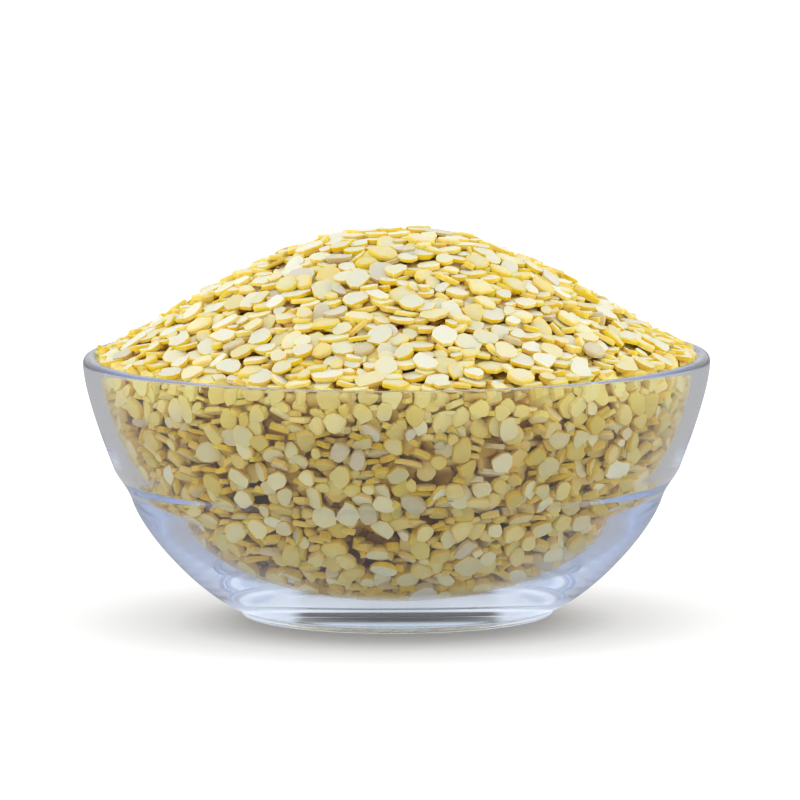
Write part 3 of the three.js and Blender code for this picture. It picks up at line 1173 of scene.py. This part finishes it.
def floor():
    """A wide floor at the height of the foot."""
    half = FLOOR_HALF
    mesh = bpy.data.meshes.new("floor")
    corners = [(-half, -half, 0), (half, -half, 0), (half, half, 0), (-half, half, 0)]
    mesh.from_pydata(corners, [], [(0, 1, 2, 3)])
    piece = bpy.data.objects.new("floor", mesh)
    bpy.context.collection.objects.link(piece)
    set_material(piece, floor_material())


def area_light(name, place, target, size, power):
    """A soft box that faces its target."""
    data = bpy.data.lights.new(name, "AREA")
    data.shape = "RECTANGLE"
    data.size, data.size_y = size
    data.energy = power
    light = bpy.data.objects.new(name, data)
    light.location = place
    light.rotation_euler = (Vector(target) - Vector(place)).to_track_quat("-Z", "Y").to_euler()
    bpy.context.collection.objects.link(light)


# Soft boxes over and in front of the dish: place, target, size and power.
SOFT_BOXES = {
    "top_box": ((0, -0.1, 0.7), (0, 0, 0.05), (0.6, 0.6), 0.3),
    "front_box": ((0, -1.2, 0.7), (0, 0, 0.04), (0.9, 0.5), 1.0),
}
# The sky: pale grey at the horizon, white from a little over it, and an even light on dull surfaces.
HORIZON = (0.49, 0.49, 0.5)
WHITE = (1.0, 1.0, 1.0)
BAND = (0.8, 0.8, 0.82)
SKY = ((0.0, HORIZON), (0.12, WHITE), (0.135, BAND), (0.15, WHITE), (0.17, BAND), (0.19, WHITE))
# The even light: the least and most from front to back, and what the sides add, and over which places.
FRONT_TO_BACK = (0.68, 1.04, -0.9, -0.1)
MORE_FROM_SIDES = (0.0, 2.0, 0.5, 1.0)


def even_light(nodes, links, direction):
    """A light on dull surfaces, weakest from the front and strongest from the sides."""
    even = nodes.new("ShaderNodeBackground")
    even.inputs["Color"].default_value = (1, 1, 1, 1)
    aside = nodes.new("ShaderNodeMath")
    aside.operation = "POWER"
    aside.inputs[1].default_value = 2
    links.new(direction.outputs["X"], aside.inputs[0])
    light = nodes.new("ShaderNodeMath")
    links.new(ranged(nodes, links, direction.outputs["Y"], *FRONT_TO_BACK), light.inputs[0])
    links.new(ranged(nodes, links, aside.outputs[0], *MORE_FROM_SIDES), light.inputs[1])
    links.new(light.outputs[0], even.inputs["Strength"])
    return even


def world():
    """The studio round the dish."""
    made = bpy.data.worlds.new("studio")
    bpy.context.scene.world = made
    made.use_nodes = True
    nodes, links = made.node_tree.nodes, made.node_tree.links
    nodes.clear()
    out = nodes.new("ShaderNodeOutputWorld")
    where = nodes.new("ShaderNodeTexCoord")
    direction = nodes.new("ShaderNodeSeparateXYZ")
    links.new(where.outputs["Generated"], direction.inputs[0])
    sky = nodes.new("ShaderNodeBackground")
    links.new(ramp(nodes, links, direction.outputs["Z"], SKY), sky.inputs["Color"])
    even = even_light(nodes, links, direction)
    mix = either(nodes, links, past_diffuse(nodes, links), sky.outputs[0], even.outputs[0])
    links.new(mix, out.inputs["Surface"])


# Camera: it stands far off, a little above the rim, and looks at the bowl's front.
CAMERA_DISTANCE = 2.4
CAMERA_ELEVATION = math.radians(7.33)
CAMERA_ROLL = math.radians(-0.23)
CAMERA_TARGET = Vector((0, 0, 0.025))
# The photo's side, the place of the camera's target in it, and the focal length, all in pixels.
IMAGE_SIDE = 800
TARGET_PIXEL = (396.7, 483.3)
FOCAL_PIXELS = 12530.4
SENSOR = 36.0
CLIP_END = 20
# How often light can pass or bounce in the glass, and between the grains.
GLASS_BOUNCES = 64
DULL_BOUNCES = 10


def camera():
    """A camera that sees the target at its pixel, from the photo's angle."""
    data = bpy.data.cameras.new("camera")
    data.sensor_width = SENSOR
    data.lens = FOCAL_PIXELS * SENSOR / IMAGE_SIDE
    data.clip_end = CLIP_END
    back = Vector((0, -math.cos(CAMERA_ELEVATION), math.sin(CAMERA_ELEVATION)))
    place = CAMERA_TARGET + back * CAMERA_DISTANCE
    pixel = CAMERA_DISTANCE / FOCAL_PIXELS
    right = Vector((1, 0, 0))
    up = right.cross(-back)
    aim = CAMERA_TARGET + right * (IMAGE_SIDE / 2 - TARGET_PIXEL[0]) * pixel
    aim += up * (TARGET_PIXEL[1] - IMAGE_SIDE / 2) * pixel
    view = (aim - place).to_track_quat("-Z", "Y").to_matrix().to_4x4()
    cam = bpy.data.objects.new("camera", data)
    cam.matrix_world = Matrix.Translation(place) @ view @ Matrix.Rotation(CAMERA_ROLL, 4, "Z")
    bpy.context.collection.objects.link(cam)
    bpy.context.scene.camera = cam


def bounces():
    """Enough bounces for light to find its way through the glass and round between the grains."""
    cycles = bpy.context.scene.cycles
    cycles.max_bounces = GLASS_BOUNCES
    cycles.transmission_bounces = GLASS_BOUNCES
    cycles.glossy_bounces = GLASS_BOUNCES
    cycles.diffuse_bounces = DULL_BOUNCES


# ---- the dish ----

bpy.context.scene.view_settings.view_transform = "Standard"
bounces()
camera()
world()
floor()
for name, soft_box in SOFT_BOXES.items():
    area_light(name, *soft_box)

bowl = revolve("glass_bowl", joined([outer_wall(), rim_top(), inner_wall()]), BOWL_SIDES)
set_material(bowl, glass_material())
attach(bowl, "root")
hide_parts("bowl")

pile = pack()
for piece, kind in zip(grain_pieces(pile, KINDS), KINDS):
    set_material(piece, lentil_material(kind["name"], *kind["colours"]))
    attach(piece, "root")
    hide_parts("lentils")

# The core fills the heap, and its dark colour is painted shade between the grains.
core = core_piece()
set_material(core, lentil_material("lentil_core_shade", DEPTH, DEPTH, DEPTH))
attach(core, "root")
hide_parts("lentils")

bpy.context.view_layer.update()
